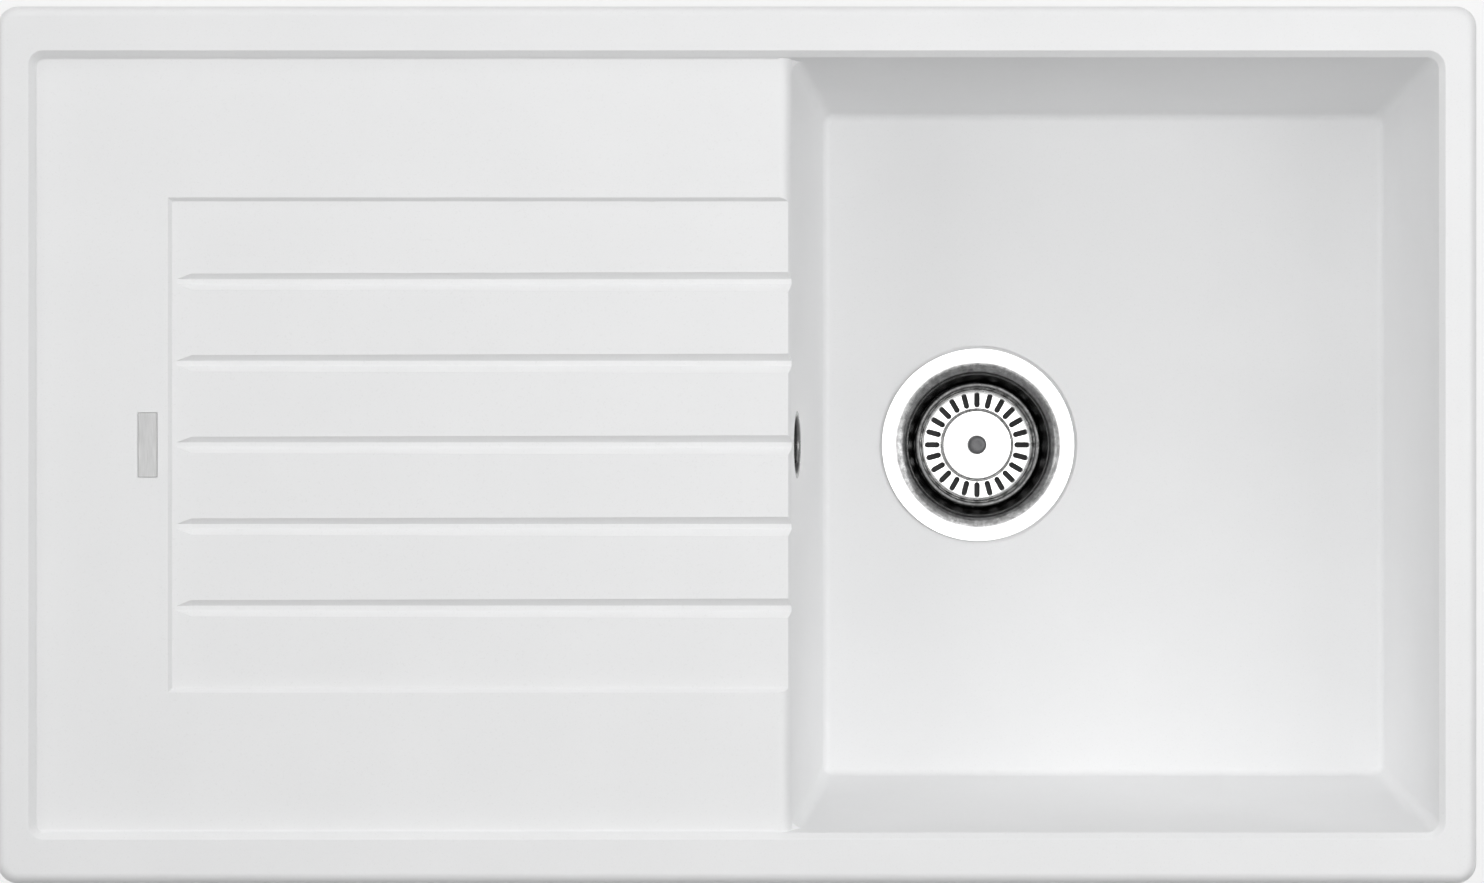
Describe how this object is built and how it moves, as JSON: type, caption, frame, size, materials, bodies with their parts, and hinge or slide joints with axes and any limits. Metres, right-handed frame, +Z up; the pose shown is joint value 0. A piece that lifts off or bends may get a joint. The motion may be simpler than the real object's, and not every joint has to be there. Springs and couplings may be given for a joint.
{
  "type": "kitchen sink with drainboard",
  "caption": "Inset kitchen sink moulded in one piece: a deep bowl, a grooved drainboard, a raised rounded rim, a basket strainer waste, an overflow and turning worktop clips.",
  "frame": {"origin": "middle of the rim's outline, on the rim's underside, which is the plane of the worktop's top", "axes": "+X along the length from the drainboard to the bowl, +Y to the back edge, +Z up out of the worktop"},
  "size_m": [0.86, 0.51, 0.291],
  "materials": {
    "composite": "satin",
    "stainless": "polished",
    "rubber": "matte",
    "foam": "matte foam",
    "waste_plastic": "satin",
    "hose_plastic": "satin",
    "nut_plastic": "satin",
    "retainer_plastic": "satin",
    "knob_plastic": "gloss",
    "brass": "plain",
    "zinc": "zinc plated"
  },
  "bodies": {
    "sink": {"sink_body": "composite", "plain_plate": "stainless", "rim_seal": "foam", "drain_flange": "stainless", "flange_seal": "rubber", "body_gasket": "rubber", "waste_body": "waste_plastic", "outlet_cone": "waste_plastic", "clamp_bridge": "waste_plastic", "clamp_screw": "stainless", "clamp_nut": "brass", "overflow_rosette": "stainless", "overflow_screw": "stainless", "overflow_gasket": "rubber", "overflow_elbow": "waste_plastic", "overflow_hose": "hose_plastic", "hose_nut_top": "nut_plastic", "hose_nut_bottom": "nut_plastic", "hose_washer_top": "rubber", "hose_washer_bottom": "rubber", "clip_dowels": "brass"},
    "basket": {"basket_shell": "stainless", "basket_knob": "knob_plastic", "basket_stem": "stainless", "stem_ring": "rubber", "basket_seal": "rubber", "seal_retainer": "retainer_plastic"},
    "screw_1": {"clip_screw_1": "zinc"},
    "claw_1": {"clip_claw_1": "zinc"},
    "screw_2": {"clip_screw_2": "zinc"},
    "claw_2": {"clip_claw_2": "zinc"},
    "screw_3": {"clip_screw_3": "zinc"},
    "claw_3": {"clip_claw_3": "zinc"},
    "screw_4": {"clip_screw_4": "zinc"},
    "claw_4": {"clip_claw_4": "zinc"},
    "screw_5": {"clip_screw_5": "zinc"},
    "claw_5": {"clip_claw_5": "zinc"},
    "screw_6": {"clip_screw_6": "zinc"},
    "claw_6": {"clip_claw_6": "zinc"},
    "screw_7": {"clip_screw_7": "zinc"},
    "claw_7": {"clip_claw_7": "zinc"},
    "screw_8": {"clip_screw_8": "zinc"},
    "claw_8": {"clip_claw_8": "zinc"}
  },
  "joints": [
    {"name": "basket_lift", "type": "slide", "parent": "sink", "child": "basket", "axis": [0, 0, 1], "range_m": [0, 0.24]},
    {"name": "screw_1_travel", "type": "slide", "parent": "sink", "child": "screw_1", "axis": [0, 0, 1], "range_m": [-0.004, 0.012]},
    {"name": "claw_1_turn", "type": "hinge", "parent": "screw_1", "child": "claw_1", "pos_m": [-0.345, -0.2375, -0.044], "axis": [0, 0, 1], "range_deg": [0, 90]},
    {"name": "screw_2_travel", "type": "slide", "parent": "sink", "child": "screw_2", "axis": [0, 0, 1], "range_m": [-0.004, 0.012]},
    {"name": "claw_2_turn", "type": "hinge", "parent": "screw_2", "child": "claw_2", "pos_m": [-0.115, -0.2375, -0.044], "axis": [0, 0, 1], "range_deg": [0, 90]},
    {"name": "screw_3_travel", "type": "slide", "parent": "sink", "child": "screw_3", "axis": [0, 0, 1], "range_m": [-0.004, 0.012]},
    {"name": "claw_3_turn", "type": "hinge", "parent": "screw_3", "child": "claw_3", "pos_m": [0.115, -0.2375, -0.044], "axis": [0, 0, 1], "range_deg": [0, 90]},
    {"name": "screw_4_travel", "type": "slide", "parent": "sink", "child": "screw_4", "axis": [0, 0, 1], "range_m": [-0.004, 0.012]},
    {"name": "claw_4_turn", "type": "hinge", "parent": "screw_4", "child": "claw_4", "pos_m": [0.345, -0.2375, -0.044], "axis": [0, 0, 1], "range_deg": [0, 90]},
    {"name": "screw_5_travel", "type": "slide", "parent": "sink", "child": "screw_5", "axis": [0, 0, 1], "range_m": [-0.004, 0.012]},
    {"name": "claw_5_turn", "type": "hinge", "parent": "screw_5", "child": "claw_5", "pos_m": [-0.345, 0.2375, -0.044], "axis": [0, 0, 1], "range_deg": [0, 90]},
    {"name": "screw_6_travel", "type": "slide", "parent": "sink", "child": "screw_6", "axis": [0, 0, 1], "range_m": [-0.004, 0.012]},
    {"name": "claw_6_turn", "type": "hinge", "parent": "screw_6", "child": "claw_6", "pos_m": [-0.115, 0.2375, -0.044], "axis": [0, 0, 1], "range_deg": [0, 90]},
    {"name": "screw_7_travel", "type": "slide", "parent": "sink", "child": "screw_7", "axis": [0, 0, 1], "range_m": [-0.004, 0.012]},
    {"name": "claw_7_turn", "type": "hinge", "parent": "screw_7", "child": "claw_7", "pos_m": [0.115, 0.2375, -0.044], "axis": [0, 0, 1], "range_deg": [0, 90]},
    {"name": "screw_8_travel", "type": "slide", "parent": "sink", "child": "screw_8", "axis": [0, 0, 1], "range_m": [-0.004, 0.012]},
    {"name": "claw_8_turn", "type": "hinge", "parent": "screw_8", "child": "claw_8", "pos_m": [0.345, 0.2375, -0.044], "axis": [0, 0, 1], "range_deg": [0, 90]}
  ]
}
